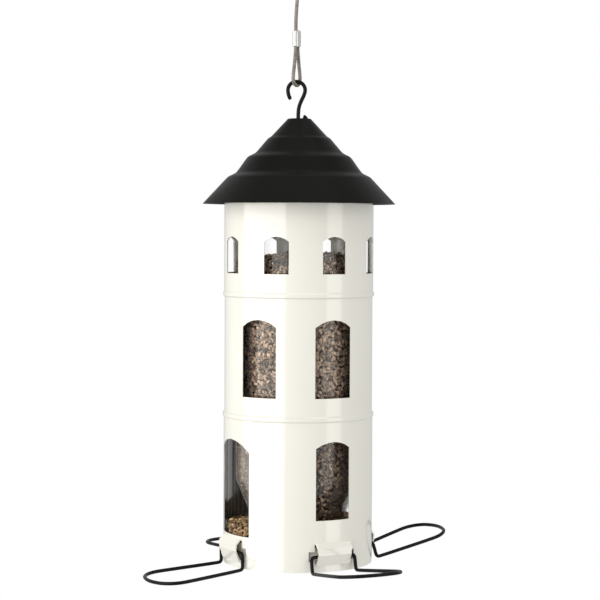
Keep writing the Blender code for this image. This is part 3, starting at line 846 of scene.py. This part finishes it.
pile = {
    "inner": 0.0408,
    "outer": 0.0562,
    "crest": 0.0335,
    "wall": 0.0325,
    "pitch": 0.0034,
    "ringShare": 0.86,  # of the pitch, between rings
    "turnJitter": 0.35,  # of the gap to the next seed
    "wave": 0.0012,
    "layerDrop": 0.0024,
    "side": 0.0572,
    "sideLayers": 5,
    "sideDrop": 0.0026,
}


def pileRows():
    radius, ring = pile["inner"], 0
    while radius <= pile["outer"]:
        share = (radius - pile["inner"]) / (pile["outer"] - pile["inner"])
        around = int(2 * math.pi * radius / pile["pitch"])
        for layer in (0, 1):
            for i in range(around):
                jitter = draws.uniform(-pile["turnJitter"], pile["turnJitter"])
                stagger = 0.5 * ((ring + layer) % 2) + jitter
                angle = 2 * math.pi * (i + stagger) / around
                height = pile["crest"] + (pile["wall"] - pile["crest"]) * share
                height += pile["wave"] * math.sin(5 * angle) - pile["layerDrop"] * layer
                height += draws.uniform(-0.0010, 0.0014)
                out = Vector((draws.uniform(-0.5, 0.5), draws.uniform(-0.5, 0.5), 1.0))
                out.normalize()
                r = radius + draws.uniform(-0.0008, 0.0008)
                yield Vector((r * math.cos(angle), r * math.sin(angle), foot + height)), out
        radius += pile["pitch"] * pile["ringShare"]
        ring += 1
    # the heap's outer side, down to the tray's rim
    around = int(2 * math.pi * pile["side"] / pile["pitch"])
    for layer in range(pile["sideLayers"]):
        for i in range(around):
            stagger = 0.5 * (layer % 2) + draws.uniform(-0.3, 0.3)
            angle = 2 * math.pi * (i + stagger) / around
            r = pile["side"] + draws.uniform(-0.0006, 0.0002)
            height = pile["wall"] - 0.0010 - pile["sideDrop"] * layer
            height += draws.uniform(-0.0008, 0.0008)
            out = Vector((math.cos(angle), math.sin(angle), 0.4)).normalized()
            yield Vector((r * math.cos(angle), r * math.sin(angle), foot + height)), out


def turnedCore(name, outline, body, material):
    # a closed turned body that fills the space behind the loose seeds
    bm = bmesh.new()
    points = [bm.verts.new((r, 0.0, foot + z)) for r, z in outline]
    edges = [bm.edges.new(pair) for pair in zip(points, points[1:])]
    bmesh.ops.spin(bm, geom=points + edges, cent=(0, 0, 0), axis=(0, 0, 1),
                   angle=2 * math.pi, steps=48, use_merge=True)
    bmesh.ops.remove_doubles(bm, verts=bm.verts, dist=1e-6)
    bmesh.ops.recalc_face_normals(bm, faces=bm.faces)
    return addPiece(name, bm, material, body, 30.0)


inset, coreInset = seeds["inset"], seeds["coreInset"]
low, lowMiddle, highMiddle, high = seeds["levels"]
makeSeeds("seedLow", wallRows(low, lowMiddle, inset), columnSeedMaterial, "tower",
          ("seed_column",), seeds["lowTint"])
makeSeeds("seedMiddle", wallRows(lowMiddle, highMiddle, inset), columnSeedMaterial, "tower")
upperRows = list(wallRows(highMiddle, high, inset)) + list(topRows())
makeSeeds("seedUpper", upperRows, columnSeedMaterial, "tower")
makeSeeds("seedOnTray", pileRows(), pileSeedMaterial, "tower", ("seed_pile",))
turnedCore("seedCore", [
    (0.0, 0.0030), (0.0350, 0.0030), (0.0350, 0.0330), (0.0420 - coreInset, 0.0475),
    (0.0508 - coreInset, 0.0685), (insideAt(0.2450) - coreInset, 0.2450), (0.0, 0.2460),
], "tower", deepSeedMaterial)
turnedCore("trayCore", [
    (0.0396, 0.0030), (0.0552, 0.0030), (0.0560, 0.0060), (0.0560, 0.0300),
    (0.0396, 0.0305), (0.0396, 0.0030),
], "tower", deepSeedMaterial)
print("seed poured")


studio = {
    "worldStrength": 0.60,
    "aim": 0.2,  # height that the lights point at
    "key": dict(place=(-1.3, -0.9, 0.25), size=(2.3, 1.8), power=24.0, colour=(1.0, 0.985, 0.95)),
    "fill": dict(place=(1.1, -0.75, 0.15), size=(0.60, 1.5), power=3.2, colour=(1.0, 0.98, 0.93)),
    "top": dict(place=(0.1, -0.2, 1.3), size=(1.2, 1.2), power=3.0, colour=(1.0, 1.0, 1.0)),
}


def makeLight(name, values, aim):
    data = bpy.data.lights.new(name, "AREA")
    data.shape = "RECTANGLE"
    data.size, data.size_y = values["size"]
    data.energy = values["power"]
    data.color = values["colour"]
    light = bpy.data.objects.new(name, data)
    angle = math.radians(view["azimuth"])
    towards = Vector((math.cos(angle), math.sin(angle), 0.0))
    right = Vector((-towards.y, towards.x, 0.0))
    # right of, behind and above the tower's middle, as the camera sees it
    x, y, z = values["place"]
    middle = Vector((0.0, 0.0, foot + aim))
    light.location = middle + right * x - towards * y + Vector((0.0, 0.0, z))
    light.rotation_euler = (middle - light.location).to_track_quat("-Z", "Y").to_euler()
    bpy.context.collection.objects.link(light)


def makeStudio(values):
    bpy.context.scene.view_settings.view_transform = "Standard"
    world = bpy.data.worlds.new("studioWorld")
    bpy.context.scene.world = world
    world.use_nodes = True
    # the backdrop is pure white to the camera, and dimmer as a light
    tree = world.node_tree
    background = tree.nodes["Background"]
    background.inputs["Color"].default_value = (1.0, 1.0, 1.0, 1.0)
    ray = tree.nodes.new("ShaderNodeLightPath").outputs["Is Camera Ray"]
    strength = rangeNode(tree, ray, 0.0, 1.0, values["worldStrength"], 1.0)
    tree.links.new(strength, background.inputs["Strength"])
    for name in ("key", "fill", "top"):
        makeLight(name, values[name], values["aim"])


makeStudio(studio)
print("studio lit")
